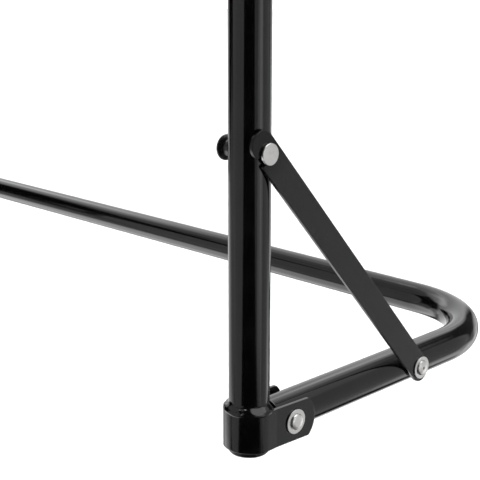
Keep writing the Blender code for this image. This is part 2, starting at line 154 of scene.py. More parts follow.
class RackBracketSettings(bpy.types.PropertyGroup):
    """The hinge brackets and their weld."""

    sheet: size("Sheet", "Thickness of the strip", 2.5)
    half_height: size("Half height", "Half the height of the strip", 12.5)
    band_play: size("Band play", "Gap between the post and the band round it", 1.0)
    seat_gap: size("Seat gap", "Gap between the ears and the arm", 0.3)
    neck: angle("Neck", "How far past its sides the band wraps the post", math.radians(5.0))
    neck_bend: size("Neck bend", "Radius of the bend from the neck into the ear", 6.0)
    droop: angle("Droop", "How far the ears' tips hang", math.radians(2.0))
    reach: size("Reach", "Hinge axis to the tip of the ear", 18.2)
    nose: size("Nose", "Radius of the ear's nose", 16.75)
    corner: size("Corner", "Radius of the nose's corners", 1.8)
    edge: size("Edge", "Rounding of the strip's edges under its paint", 0.35)
    bead: size("Weld", "How far the weld stands out of the band's face", 0.15)
    weld_rise: size("Weld rise", "How far the weld climbs the post above the band", 4.6)
    weld_lap: size("Weld lap", "How far the weld laps down over the band's face", 2.0)
    ripple: size("Ripple", "Height of the ripples along the weld", 0.004)
    ripple_pitch: size("Ripple pitch", "Distance from ripple to ripple", 2.2)


class RackStaySettings(bpy.types.PropertyGroup):
    """The stays and their hook slots."""

    sheet: size("Sheet", "Thickness of the strip", 2.5)
    half_width: size("Half width", "Half the width of the strip", 8.75)
    foot: size("Foot", "Length beyond the pivot", 9.75)
    head: size("Head", "Length beyond the stud", 15.5)
    pivot_offset: size("Pivot offset", "The pivot's distance from the centre line", 1.0)
    seat_offset: size("Seat offset", "The seat's distance from the centre line", 0.3)
    seat: size("Seat", "Radius of the seat in the slot", 3.25)
    tilt: angle("Tilt", "Lean of the slot towards the hook's end", math.radians(9.7))
    play: size("Play", "Extra width of the slot on the pivot's side", 0.4)
    lip: size("Lip", "How far the seat is sunk into the slot's other wall", 0.4)
    tip: size("Tip", "Radius of the hook's tip", 1.8)
    jaw: size("Jaw", "Radius of the slot's other corner", 1.0)
    edge: size("Edge", "Rounding of the edges under the paint", 0.3)


class RackFastenerSettings(bpy.types.PropertyGroup):
    """Rivets, washers, studs, caps and screws."""

    around: count("Around", "Sides round a turned piece", 72)
    washer_edge: size("Washer edge", "Rounding of the washers' edges", 0.16)
    mandrel: size("Mandrel", "Radius of the hole in a blind rivet's head", 0.95)
    stud: size("Stud", "Radius of the stud's shank", 3.0)
    stud_head: size("Stud head", "Thickness of the stud's head", 1.7)
    rivet: size("Rivet", "Radius of the hinge rivet's shank", 4.0)
    blind: size("Blind rivet", "Radius of the blind rivets' shank", 2.4)
    cap_rib: size("Cap rib", "How far the ribs of a post cap stand out", 0.7)
    recess: size("Recess", "Depth of the cross recess in the screws", 1.6)
    screw_head: size("Screw head", "Height of the screws' heads", 2.6)
    screw_core: size("Screw core", "Radius of the screws' core", 1.55)
    thread: size("Thread", "Height of the screws' thread", 0.5)
    pitch: size("Pitch", "Distance from thread to thread", 1.8)


class RackSaddleSettings(bpy.types.PropertyGroup):
    """The wall saddles."""

    bend: size("Bend", "Inner radius of the feet's bends", 1.5)
    foot: size("Foot", "Half the saddle's span", 40.0)
    corner: size("Corner", "Radius of the feet's corners", 5.0)


class RackStageSettings(bpy.types.PropertyGroup):
    """Floor, light and camera."""

    floor_drop: distance("Floor drop", "Height of the rack's origin over the floor", 0.82)
    floor_reach: distance("Floor reach", "Distance from the rack to the backdrop", 20.0)
    floor: colour("Floor", "Colour of the floor", (0.92, 0.92, 0.92))
    camera_place: position("Camera place", "Where the camera stands", (-0.86234, 0.39036, -0.08042))
    camera_turn: angle("Camera turn", "Heading of the camera", math.radians(-134.338))
    camera_pitch: angle("Camera pitch", "How far the camera looks down", math.radians(14.326))
    lens: size("Lens", "Focal length on a 36 mm sensor", 79.5)


SETTINGS = {
    "rack_finish": RackFinishSettings,
    "rack_tubes": RackTubeSettings,
    "rack_bracket": RackBracketSettings,
    "rack_stay": RackStaySettings,
    "rack_fasteners": RackFastenerSettings,
    "rack_saddle": RackSaddleSettings,
    "rack_stage": RackStageSettings,
}


# Meshes from arrays


def arc(centre, radius, start, end, steps):
    """Points at centre + radius * (cos t, sin t), with t from start to end in equal steps."""
    t = np.linspace(start, end, steps + 1)[:, None]
    return np.asarray(centre, float) + radius * np.hstack([np.cos(t), np.sin(t)])


def full_turn(steps):
    """Angles round a whole circle in equal steps."""
    return np.linspace(0, 2 * np.pi, steps, endpoint=False)


def fillet(corners, closed, step=math.radians(8)):
    """An outline with rounded corners.

    Each corner is (x, y, radius). Its arc's centre lies on the bisector of the corner's two sides, at
    radius / sin(half the angle between them), and the arc runs between the feet of the perpendiculars
    from there to the sides.
    """
    points = []
    last = len(corners) - 1
    for i, (x, y, radius) in enumerate(corners):
        here = np.array([x, y], float)
        if radius == 0 or (not closed and i in (0, last)):
            points.append(here[None])
            continue
        sides = (np.array(corners[j % len(corners)][:2], float) - here for j in (i - 1, i + 1))
        back, ahead = (side / np.linalg.norm(side) for side in sides)
        half = math.acos(np.clip(back @ ahead, -1, 1)) / 2
        bisector = (back + ahead) / np.linalg.norm(back + ahead)
        centre = here + bisector * radius / math.sin(half)
        first, final = (here + side * radius / math.tan(half) - centre for side in (back, ahead))
        start = math.atan2(first[1], first[0])
        sweep = math.atan2(first[0] * final[1] - first[1] * final[0], first @ final)
        points.append(arc(centre, radius, start, start + sweep, max(2, round(abs(sweep) / step))))
    outline = np.vstack(points)
    apart = np.linalg.norm(np.roll(outline, -1, axis=0) - outline, axis=1) > 0.01
    if not closed:
        apart[-1] = True
    return outline[apart]


def grid_faces(rows, columns, closed):
    """Quads (i, j), (i, j + 1), (i + 1, j + 1), (i + 1, j). Columns wrap, and rows too where closed."""
    here = np.arange(rows * columns).reshape(rows, columns)
    beside = np.roll(here, -1, axis=1)
    quads = np.stack([here, beside, np.roll(beside, -1, axis=0), np.roll(here, -1, axis=0)], axis=-1)
    return quads[:rows if closed else rows - 1].reshape(-1, 4)


def signed_volume(points, quads):
    """Sum over each quad's two triangles of a . (b x c) / 6."""
    a, b, c, d = points[quads.T]
    return (a * (np.cross(b, c) + np.cross(c, d))).sum() / 6


def add_object(name, data):
    obj = bpy.data.objects.new(name, data)
    bpy.context.scene.collection.objects.link(obj)
    return obj


def piece(name, skin, body, slot, node=None, closed=False, capped=False):
    """One object from a grid of points, welded at its seams and poles, in its finish.

    The grid's columns wrap round, and its rows too where it is closed. Where it is capped, its first
    and its last row each close with one flat face.
    """
    rows, columns = skin.shape[:2]
    points = skin.reshape(-1, 3) * MM
    quads = grid_faces(rows, columns, closed)
    first = np.arange(columns)
    ends = [first[::-1], first + (rows - 1) * columns] if capped else []
    if signed_volume(points - points.mean(axis=0), quads) < 0:
        quads = quads[:, ::-1]
        ends = [ring[::-1] for ring in ends]
    mesh = bpy.data.meshes.new(name)
    mesh.from_pydata(points, [], quads.tolist() + [ring.tolist() for ring in ends])
    work = bmesh.new()
    work.from_mesh(mesh)
    bmesh.ops.remove_doubles(work, verts=work.verts, dist=2e-7)
    bmesh.ops.dissolve_degenerate(work, edges=work.edges, dist=1e-8)
    work.to_mesh(mesh)
    work.free()
    mesh.shade_smooth()
    mesh.set_sharp_from_angle(angle=math.radians(38))
    if capped:
        flat_ends(mesh)
    obj = add_object(name, mesh)
    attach(obj, body)
    if node:
        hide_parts(node)
    wear(obj, slot)


def flat_ends(mesh):
    """Marks the edges of every face of more than four corners sharp, so that it shades flat."""
    work = bmesh.new()
    work.from_mesh(mesh)
    ends = [face for face in work.faces if len(face.verts) > 4]
    for edge in {edge for face in ends for edge in face.edges}:
        edge.smooth = False
    bmesh.ops.triangulate(work, faces=ends, ngon_method="EAR_CLIP")
    work.to_mesh(mesh)
    work.free()


def turned(name, corners, place, axis, node, body, slot="zinc_plate", closed=False):
    """A turned piece that stands for a node.

    Its profile's corners are (radius, height, rounding), and its skin is place + height * axis
    + radius * (cos t * u + sin t * v), with u and v square to the axis and to each other.
    """
    radius, height = fillet(corners, closed).T[..., None, None]
    u = np.cross(axis, Z if abs(axis[2]) < 0.9 else X)
    v = np.cross(axis, u)
    t = full_turn(bpy.context.scene.rack_fasteners.around)[:, None]
    skin = place + height * axis + radius * (np.cos(t) * u + np.sin(t) * v)
    piece(name, skin, body, slot, node, closed)


# Finishes


class Nodes:
    """A short hand for building the node tree of a material or a world."""

    def __init__(self, owner, shader="Principled BSDF", coordinates="Object"):
        owner.use_nodes = True
        self.owner = owner
        self.tree = owner.node_tree
        self.shader = self.tree.nodes[shader]
        self.place = self.add("ShaderNodeTexCoord", {}, coordinates)

    def feed(self, node, values):
        """Links or sets a node's inputs, each by its name or number."""
        for name, value in values.items():
            socket = node.inputs[name]
            if isinstance(value, bpy.types.NodeSocket):
                self.tree.links.new(value, socket)
            else:
                socket.default_value = (*value, 1) if socket.type == "RGBA" else value

    def add(self, kind, values, result=0, **settings):
        """Adds a node, feeds it and gives one of its outputs."""
        node = self.tree.nodes.new(kind)
        for key, value in settings.items():
            setattr(node, key, value)
        self.feed(node, values)
        return node.outputs[result]

    def noise(self, scale, detail=2.0, rough=0.5, stretch=None):
        """Noise of that many features a metre, on the object's own coordinates."""
        place = self.place
        if stretch:
            place = self.add("ShaderNodeMapping", {"Vector": place, "Scale": stretch})
        values = {"Vector": place, "Scale": scale, "Detail": detail, "Roughness": rough}
        return self.add("ShaderNodeTexNoise", values)

    def ramp(self, source, low, high, to_low=0.0, to_high=1.0):
        """Maps source from low..high to to_low..to_high, smoothly."""
        values = {"Value": source, "From Min": low, "From Max": high, "To Min": to_low, "To Max": to_high}
        return self.add("ShaderNodeMapRange", values, interpolation_type="SMOOTHSTEP")

    def mix(self, amount, first, second):
        """A mix of two colours, which are the node's inputs 6 and 7, and its output 2."""
        return self.add("ShaderNodeMix", {0: amount, 6: first, 7: second}, 2, data_type="RGBA")

    def times(self, first, second, operation="MULTIPLY"):
        return self.add("ShaderNodeMath", {0: first, 1: second}, operation=operation)

    def plus(self, first, second):
        return self.times(first, second, "ADD")

    def vector(self, operation, source, by, result="Value"):
        """A vector operation of a socket with a fixed vector."""
        return self.add("ShaderNodeVectorMath", {0: source, 1: by}, result, operation=operation)

    def bump(self, height, depth, strength, under=None):
        """A bump of that depth in metres, on top of the one under it."""
        values = {"Height": height, "Distance": depth, "Strength": strength}
        if under:
            values["Normal"] = under
        return self.add("ShaderNodeBump", values)

    def near(self, place, inner, outer):
        """One within the inner distance of the line along x through a place, none past the outer one."""
        flat = self.vector("MULTIPLY", self.place, (0, 1, 1), "Vector")
        away = self.vector("DISTANCE", flat, (0, place[1], place[2]))
        return self.ramp(away, inner, outer, 1.0, 0.0)

    def specks(self, scale, share):
        """Small round specks: cells of a Voronoi pattern, of which only the given share carries one."""
        away = self.add("ShaderNodeTexVoronoi", {"Vector": self.place, "Scale": scale}, "Distance")
        pick = self.add("ShaderNodeSeparateColor", {"Color": away.node.outputs["Color"]}, "Red")
        return self.times(self.ramp(away, 0.08, 0.22, 1.0, 0.0), self.ramp(pick, 1 - share, 1 - share + 0.01))

    def finish(self, values):
        """Feeds the shader and gives the finished material or world."""
        self.feed(self.shader, values)
        return self.owner


def lighter(base, times, add=0.0):
    return tuple(min(1.0, channel * times + add) for channel in base)


def tube_paint(settings):
    """Gloss black paint: faint orange peel, cloudy gloss and a little dust that it caught."""
    nodes = Nodes(bpy.data.materials.new("tube_gloss_black"))
    base = tuple(settings.tube_paint)
    gloss = settings.tube_roughness
    dust = nodes.specks(900, 0.012)
    rough = nodes.ramp(nodes.noise(35, 3), 0.3, 0.7, gloss * 0.85, gloss * 1.2)
    rough = nodes.plus(rough, nodes.times(dust, 0.25))
    patches = nodes.ramp(nodes.noise(60, 4), 0.35, 0.7)
    tint = nodes.mix(patches, base, lighter(base, 1.5, 0.0008))
    tint = nodes.mix(dust, tint, (0.012, 0.012, 0.012))
    peel = nodes.bump(nodes.noise(420, 2, 0.45), 0.00006, 0.35)
    swell = nodes.bump(nodes.noise(90, 1, 0.4), 0.0003, 0.10, peel)
    specked = nodes.bump(dust, 0.00004, 0.6, swell)
    return nodes.finish({"Base Color": tint, "Roughness": rough, "Normal": specked})


def strip_paint(settings):
    """Satin black paint: fine even texture, rubbed spots and dust, and painted shade darkening it round the
    hooks.
    """
    nodes = Nodes(bpy.data.materials.new("strip_satin_black"))
    base = tuple(settings.strip_paint)
    gloss = settings.strip_roughness
    rough = nodes.ramp(nodes.noise(55, 4, 0.6), 0.3, 0.7, gloss * 0.88, gloss * 1.15)
    rubbed = nodes.ramp(nodes.noise(140, 5, 0.7), 0.58, 0.75)
    tint = nodes.mix(rubbed, base, lighter(base, 1.2, 0.002))
    tint = nodes.mix(nodes.specks(1100, 0.02), tint, (0.024, 0.024, 0.024))
    # painted shade: the paint darkens within 8 to 26 mm of the line through the studs, where the studs' heads
    # and the posts shade the hooks
    hook = middle("stay_stud_left") * MM + (0, 0.006, 0.004)
    painted_shade = nodes.near(hook, 0.008, 0.026)
    tint = nodes.mix(painted_shade, tint, lighter(base, 0.15))
    grain = nodes.bump(nodes.noise(1500, 2, 0.5), 0.00004, 0.45)
    swell = nodes.bump(nodes.noise(160, 2, 0.45), 0.00025, 0.12, grain)
    return nodes.finish({"Base Color": tint, "Roughness": rough, "Normal": swell, "Specular IOR Level": 0.32})


def zinc_plate(settings):
    """Bright zinc plate: a fine cast of crystals, hair scratches and dull patches."""
    nodes = Nodes(bpy.data.materials.new("zinc_bright"))
    base = tuple(settings.zinc)
    gloss = settings.zinc_roughness
    dull = nodes.ramp(nodes.noise(420, 5, 0.65), 0.4, 0.7)
    hairs = nodes.ramp(nodes.noise(900, 3, 0.6, stretch=(1.0, 0.08, 1.0)), 0.5, 0.7)
    rough = nodes.ramp(dull, 0.0, 1.0, gloss * 0.9, gloss * 1.2)
    rough = nodes.plus(rough, nodes.times(hairs, 0.06))
    tint = nodes.mix(dull, base, lighter(base, 0.93))
    tint = nodes.mix(nodes.times(hairs, 0.2), tint, lighter(base, 0.8))
    scratch = nodes.bump(hairs, 0.00002, 0.4)
    pits = nodes.bump(nodes.noise(2600, 2, 0.5), 0.00003, 0.35, scratch)
    return nodes.finish({"Base Color": tint, "Roughness": rough, "Normal": pits, "Metallic": 1.0})


def black_plastic(settings):
    """Moulded plastic with a fine spark-eroded grain."""
    nodes = Nodes(bpy.data.materials.new("plastic_black"))
    base = tuple(settings.plastic)
    cloud = nodes.ramp(nodes.noise(120, 4, 0.6), 0.35, 0.7)
    tint = nodes.mix(cloud, base, lighter(base, 1.6, 0.002))
    rough = nodes.ramp(cloud, 0.0, 1.0, 0.24, 0.32)
    grain = nodes.bump(nodes.noise(2600, 2, 0.6), 0.00002, 0.3)
    return nodes.finish({"Base Color": tint, "Roughness": rough, "Normal": grain})


FINISHES = {
    "gloss_black_paint": tube_paint,
    "satin_black_paint": strip_paint,
    "zinc_plate": zinc_plate,
    "black_plastic": black_plastic,
}
made_finishes = {}


def wear(obj, slot):
    """Gives a piece the finish made for one of the record's slots."""
    if slot not in made_finishes:
        made_finishes[slot] = FINISHES[slot](bpy.context.scene.rack_finish)
    obj.data.materials.append(made_finishes[slot])


# Shapes


def faded(s, total, short, fade):
    """Lengths s moved inwards by short at both ends of a total, by less and less up to the fade."""
    return s + short * np.clip(1 - s / fade, 0, 1) - short * np.clip(1 - (total - s) / fade, 0, 1)


def bent_tube(settings, leg_end, rail, along, fixed, relief=lambda r, v: 0 * v):
    """The closed skin of a U of tube: outer wall, rounded lips and inner wall.

    Its axis runs from leg_end straight to the bend, round a quarter circle, across, and back, in the
    plane of X and the axis numbered along. Each ring is centre(s) + r * (cos v * n(s) + sin v * b),
    where s is the length along the axis, n the normal in that plane and b the plane's own normal.
    Rings run out along the outer radius, round the lip, and back along the inner one. At the middle of
    a bend the radius in the plane is less by the oval's share. relief(r, v) says how much shorter each
    end is.
    """
    half = POST_X
    bend = settings.bend_radius
    radius = TUBE_RADIUS
    bore = radius - settings.wall
    lip = min(settings.lip, settings.wall / 2.01)
    way = 1.0 if rail > leg_end else -1.0
    leg = abs(rail - leg_end) - bend
    quarter = bend * math.pi / 2
    marks = np.cumsum([0, leg, quarter, 2 * (half - bend), quarter, leg])
    total = marks[-1]
    steps = (25, settings.bend_steps, 30, settings.bend_steps, 25)
    stations = np.concatenate([
        np.linspace(first, last, number, endpoint=False)
        for first, last, number in zip(marks[:-1], marks[1:], steps)])
    stations = stations[(stations > 3 * lip) & (stations < total - 3 * lip)]
    corner = arc((0, 0), lip, 0, math.pi / 2, 4)
    end = np.append(lip - corner[:, 0], 2.5 * lip)
    rim = radius - lip + corner[:, 1]
    out = np.concatenate([end, stations, total - end[::-1]])
    wall = np.concatenate([rim, np.full(len(stations) + 2, radius), rim[::-1]])
    v = full_turn(settings.around)
    r = np.concatenate([wall, bore + radius - wall])[:, None] + 0 * v
    s = np.concatenate([out, out[::-1]])[:, None] + 0 * v
    s = faded(s, total, relief(r, v), fade=40.0)
    turn_one, turn_two = (np.clip((s - marks[k]) / bend, 0, math.pi / 2) for k in (1, 3))
    across = (bend * (1 - np.cos(turn_one)) + np.clip(s - marks[2], 0, marks[3] - marks[2])
              + bend * np.sin(turn_two))
    rise = (np.clip(s, 0, leg) + bend * np.sin(turn_one) - bend * (1 - np.cos(turn_two))
            - np.clip(s - marks[4], 0, None))
    oval = settings.oval * (np.sin(2 * turn_one) ** 2 + np.sin(2 * turn_two) ** 2)
    in_plane = r * (1 - oval * np.cos(v) ** 2) * np.cos(v)
    points = np.zeros(s.shape + (3,))
    points[..., 0] = across - half - in_plane * np.cos(turn_one + turn_two)
    points[..., along] = leg_end + way * (rise + in_plane * np.sin(turn_one + turn_two))
    points[..., 3 - along] = fixed + r * np.sin(v)
    return points


def rounded_loop(half_thickness, half_height, edge, rows):
    """The loop of a strip's cross-section, up its outer face and down its inner one.

    It is a rectangle with rounded corners, points (offset, height), with the same heights on both
    faces, set close together towards the two edges.
    """
    spread = np.sin(np.linspace(-math.pi / 2, math.pi / 2, rows + 2)[1:-1])
    face = spread * (half_height - 2.2 * edge)
    corner = arc((half_thickness - edge, half_height - edge), edge, 0, math.pi / 2, 4)
    side = np.stack([np.full(rows, half_thickness), face], axis=1)
    outer = np.vstack([(corner * (1, -1))[::-1], side, corner])
    return np.vstack([outer, outer[::-1] * (-1, 1)])


def strip(path, settings, shortened, fade, rows):
    """The closed skin of a strip on edge along a path seen from above.

    path is a dense line of points. A point of the skin is path(s) + offset * normal(s), at its height.
    Its ends are cut to the outline that shortened(height) gives, as a length off the path, and the
    faces round over to the end by the edge's radius and meet on the strip's middle.
    """
    half, edge = settings.sheet / 2, settings.edge
    loop = rounded_loop(half, settings.half_height, edge, rows)
    length = np.append(0, np.cumsum(np.linalg.norm(np.diff(path, axis=0), axis=1)))
    total = length[-1]
    turn = np.linspace(math.pi / 2, 0, 5)
    end = np.append(0, edge * (1 - np.sin(turn)))
    end_half = np.append(0, half - edge + edge * np.cos(turn))
    inner = length[(length > 2.5 * edge) & (length < total - 2.5 * edge)]
    s = np.concatenate([end, inner, total - end[::-1]])[:, None]
    thick = np.concatenate([end_half, np.full(len(inner), half), end_half[::-1]])[:, None]
    offset = loop[:, 0] * thick / half
    height = loop[:, 1] + 0 * s
    s = faded(s, total, shortened(height), fade)

    def at(s):
        return np.stack([np.interp(s, length, path[:, k]) for k in (0, 1)])

    x, y = at(s)
    ahead = at(s + 0.05) - at(s - 0.05)
    ahead_x, ahead_y = ahead / np.hypot(*ahead)
    return np.stack([x + offset * ahead_y, y - offset * ahead_x, height], axis=-1)


def dense(points, spacing=0.8):
    """A line of points no further apart than the spacing."""
    pieces = []
    for first, second in zip(points[:-1], points[1:]):
        parts = max(1, int(np.ceil(np.linalg.norm(second - first) / spacing)))
        pieces.append(np.linspace(first, second, parts, endpoint=False))
    return np.vstack(pieces + [points[-1:]])


def wrapped(corners, round_part):
    """A path along rounded corners, round the round part, and back along the corners' mirror image."""
    start = fillet(corners, False)[:-1]
    return dense(np.vstack([start, round_part, start[::-1] * (-1, 1)]))


def plate(outline, thickness, edge):
    """The skin of a flat plate with rounded edges, as rings of (x, y, height).

    A ring is the outline moved inwards along its own normals, at the height that a quarter circle of
    the edge's radius gives. A last ring a little further in keeps the flat faces flat.
    """
    ahead = np.roll(outline, -1, axis=0) - np.roll(outline, 1, axis=0)
    ahead /= np.linalg.norm(ahead, axis=1)[:, None]
    inwards = np.stack([-ahead[:, 1], ahead[:, 0]], axis=1)
    x, y = outline.T
    if np.sum(x * np.roll(y, -1) - np.roll(x, -1) * y) < 0:
        inwards = -inwards
    turn = np.linspace(0, math.pi / 2, 5)
    inset = np.append(2.2 * edge, edge * (1 - np.sin(turn)))
    height = thickness / 2 - np.append(0, edge * (1 - np.cos(turn)))
    inset = np.concatenate([inset, inset[::-1]])
    height = np.concatenate([height, -height[::-1]])
    rings = outline + inset[:, None, None] * inwards
    return np.dstack([rings, np.repeat(height[:, None], len(outline), axis=1)])


# Pieces


class RackPiece:
    """What the operators share."""

    bl_options = {"REGISTER", "UNDO"}

    def execute(self, context):
        self.build(context.scene)
        return {"FINISHED"}


class RACK_OT_rear_frame(RackPiece, bpy.types.Operator):
    """Adds the bent tube that makes both posts and the top rail"""

    bl_idname = "rack.rear_frame"
    bl_label = "Rear frame tube"

    def build(self, scene):
        skin = bent_tube(scene.rack_tubes, REAR_BOX[0][2], RAIL_Z, 2, POST_Y)
        piece("rear_frame_skin", skin, "rear_frame", "gloss_black_paint", "rear_frame_tube", closed=True)


class RACK_OT_swing_frame(RackPiece, bpy.types.Operator):
    """Adds the bent tube of the swing frame, with its arms cut clear of the posts"""

    bl_idname = "rack.swing_frame"
    bl_label = "Swing frame tube"

    def build(self, scene):
        settings = scene.rack_tubes
        arm_end = SWING_BOX[1][1]

        def relief(r, v):
            """How far the circle about the hinge lies short of the arm's square end, at each height."""
            below = np.clip(HINGE[2] - ARM_Z - r * np.sin(v), 0, settings.relief)
            circle = HINGE[1] + np.sqrt(settings.relief ** 2 - below ** 2)
            return np.clip(arm_end - circle, 0, None)

        skin = bent_tube(settings, arm_end, RAIL_Y, 1, ARM_Z, relief)
        piece("swing_frame_skin", skin, "swing_frame", "gloss_black_paint", "swing_frame_tube", closed=True)


class RACK_OT_hinge_brackets(RackPiece, bpy.types.Operator):
    """Adds the strips that wrap the posts' feet, and the weld bead on each"""

    bl_idname = "rack.hinge_brackets"
    bl_label = "Hinge brackets"

    def build(self, scene):
        settings = scene.rack_bracket
        half = settings.sheet / 2
        band = TUBE_RADIUS + settings.band_play + half
        ear = TUBE_RADIUS + settings.seat_gap + half
        narrower = band * math.cos(settings.neck) - ear
        neck = -band * math.sin(settings.neck) - narrower / math.tan(settings.neck)
        tip = HINGE[1] - POST_Y - settings.reach
        round_post = arc((0, 0), band, -settings.neck, math.pi + settings.neck, 72)
        corners = [(ear, tip, 0), (ear, neck, settings.neck_bend), (*round_post[0], 0)]
        path = wrapped(corners, round_post)
        nose, corner = settings.nose, settings.corner
        corner_z = settings.half_height - corner
        corner_x = math.sqrt((nose - corner) ** 2 - corner_z ** 2)

        def shortened(height):
            """The nose's arc, and within its corners the arc that rounds them, as a length off its tip."""
            z = np.abs(height)
            on_nose = np.sqrt(nose ** 2 - z ** 2)
            on_corner = corner_x + np.sqrt(np.maximum(corner ** 2 - (z - corner_z) ** 2, 0))
            return nose - np.where(z > corner_z * nose / (nose - corner), on_corner, on_nose)

        skin = strip(path, settings, shortened, fade=14.0, rows=41)
        skin[..., 2] += skin[..., 1] * math.tan(settings.droop)
        for name, side in SIDES.items():
            place = (side * POST_X, POST_Y, ARM_Z)
            node = f"hinge_bracket_{name}"
            piece(f"hinge_strip_{name}", skin + place, "rear_frame", "gloss_black_paint", node)
            bead = weld_bead(settings, side) + place
            piece(f"weld_bead_{name}", bead, "rear_frame", "gloss_black_paint")


WELD_KNOTS = (
    # degrees round the post, height in mm, how many degrees and mm it is wide, and how far it stands out
    (-14, 1, 8, 2, 0.35),
    (46, 1.6, 14, 1.3, 0.75),
    (46, 3.9, 16, 0.9, -0.5),
    (119, 0.3, 3, 0.45, -0.3),
    (119, 0.3, 12, 0.4, -0.16),
    (110, 2, 5, 0.6, 0.22),
    (125, 2.1, 4, 0.5, 0.2),
    (168, 0.8, 10, 2, 0.1),
    (204, 1.2, 4, 1, 0.4),
)


def weld_bead(settings, side):
    """A painted weld round the wall side of the post.

    Down its outer face, the radius is r + swell * (a - 0.4 * sin(2 pi a) / (2 pi)), a slope that eases
    off at the post's wall and at the band's face, and then the section returns inside the metal. Round
    the post, the face rises and sinks as sums of sines and as exp(-(distance / width)^2) at each knot
    and pit, and the section shrinks to a point at both ends as the square root of the distance.
    """
    radius = TUBE_RADIUS
    band = radius + settings.band_play + settings.sheet
    rise, lap = settings.weld_rise, settings.weld_lap
    sunk, tuck, taper = 0.1, 1.2, 3.5  # mm: start inside the post, last part of the lap, each end
    down = np.linspace(rise, -lap, 30)
    share = np.clip((rise - down) / (rise + 0.6), 0, 1)
    ramp = share - 0.4 * np.sin(2 * np.pi * share) / (2 * np.pi)
    under = np.clip((tuck - lap - down) / tuck, 0, 1)
    face_r = radius - sunk + (band + settings.bead - radius + sunk) * ramp
    face_r -= (settings.bead + 0.15) * under ** 2
    back = np.linspace(0, 1, 14)[1:-1]
    back_r = band - 0.2 + (radius - 0.4 - band + 0.2) * back
    back_h = 0.3 - lap + (rise + lap - 0.9) * back ** 0.6
    section_r = np.concatenate([face_r, back_r])
    section_h = np.concatenate([down, back_h])
    on_face = np.concatenate([np.sin(np.pi * np.linspace(0, 1, 30)) ** 0.7, 0 * back])
    t = np.linspace(math.radians(-32), math.radians(216), 520)[:, None]
    s = band * t
    ends = np.clip(np.minimum(s - s[0], s[-1] - s) / taper, 0, 1)
    close = np.sqrt(ends * (2 - ends))
    lift = (0.08 * np.sin(0.23 * s + 1.0) + 0.03 * np.sin(0.53 * s + side + 0.5 * section_h)
            + 0.008 * np.sin(1.3 * s + 0.9 * section_h)
            + settings.ripple * np.sin(s * 2 * np.pi / settings.ripple_pitch))
    for degrees, height, wide, high, out in WELD_KNOTS:
        away = ((np.degrees(t) - degrees) / wide) ** 2 + ((section_h - height) / high) ** 2
        lift = lift + out * np.exp(-away)
    lift = lift * on_face
    middle_r = (radius + band) / 2
    r = middle_r + (section_r + lift - middle_r) * close
    wander = 0.5 * lift + 0.35 * np.sin(0.37 * s + 0.6)
    level = settings.half_height + 0.5 + (section_h - 0.5 + wander) * close
    y = r * np.sin(t)
    return np.stack([-side * r * np.cos(t), y, level + y * math.tan(settings.droop)], axis=-1)


class RACK_OT_hinge_rivets(RackPiece, bpy.types.Operator):
    """Adds the rivets that the swing frame turns on, and their washers"""

    bl_idname = "rack.hinge_rivets"
    bl_label = "Hinge rivets"

    def build(self, scene):
        settings = scene.rack_fasteners
        for name, side in SIDES.items():
            for end, way in (("outer", side), ("inner", -side)):
                washer(f"hinge_ring_{end}_{name}", f"hinge_washer_{end}_{name}", way, settings,
                       settings.rivet, "rear_frame")
            node = f"hinge_rivet_{name}"
            top, _, head = half_size(node)
            seat = outer_face(f"hinge_washer_outer_{name}") - POST_X + HEAD_GAP
            thick = top - seat
            corners = [(0, top, 0), (0.6 * head, top - 0.06 * thick, 4.0),
                       (0.9 * head, seat + 0.68 * thick, 0.7), (head, seat + 0.3 * thick, 0.3),
                       (head, seat, 0.1), (settings.rivet, seat, 0)]
            corners += [(r, -h, rounding) for r, h, rounding in reversed(corners)]
            turned(f"hinge_pin_{name}", corners, middle(node), side * X, node, "rear_frame")


def washer(name, node, way, settings, shank, body):
    """A flat washer with rounded edges, in its node's box."""
    half, _, radius = half_size(node)
    bore = shank + BORE_PLAY
    edge = settings.washer_edge
    flat = radius - 3 * edge
    corners = [(bore, -half, edge / 2), (bore, half, edge), (0.5 * (bore + radius), half, 0),
               (flat, half, 0), (radius, half, edge), (radius, -half, edge), (flat, -half, 0)]
    turned(name, corners, middle(node), way * X, node, body, closed=True)


class RACK_OT_post_caps(RackPiece, bpy.types.Operator):
    """Adds the plastic inserts in the posts' feet"""

    bl_idname = "rack.post_caps"
    bl_label = "Post caps"

    def build(self, scene):
        rib = scene.rack_fasteners.cap_rib
        radius = TUBE_RADIUS
        plug = radius - scene.rack_tubes.wall - 0.25
        core = plug - rib
        inside = core - 1.6
        for name in SIDES:
            node = f"post_cap_{name}"
            place = middle(node)
            place[2] = REAR_BOX[0][2]
            bottom, top = box_of(node)[:, 2] - place[2]
            corners = [(0, 0, 0), (inside, 0, 0.5), (inside, top, 0.2), (core, top, 0.5)]
            for share in (0.8, 0.52, 0.24):
                level = share * top
                corners += [(core, level + rib, 0.1), (plug, level, 0.15), (core, level - rib, 0.1)]
            corners += [(core, -0.2, 0), (radius - 0.6, -0.2, 0), (radius, -0.2, 0.12),
                        (radius, bottom + 0.9, 0.4), (radius - 0.95, bottom, 0.7),
                        (radius - 2.2, bottom, 0), (0, bottom, 0)]
            turned(f"post_insert_{name}", corners, place, Z, node, "rear_frame", "black_plastic")


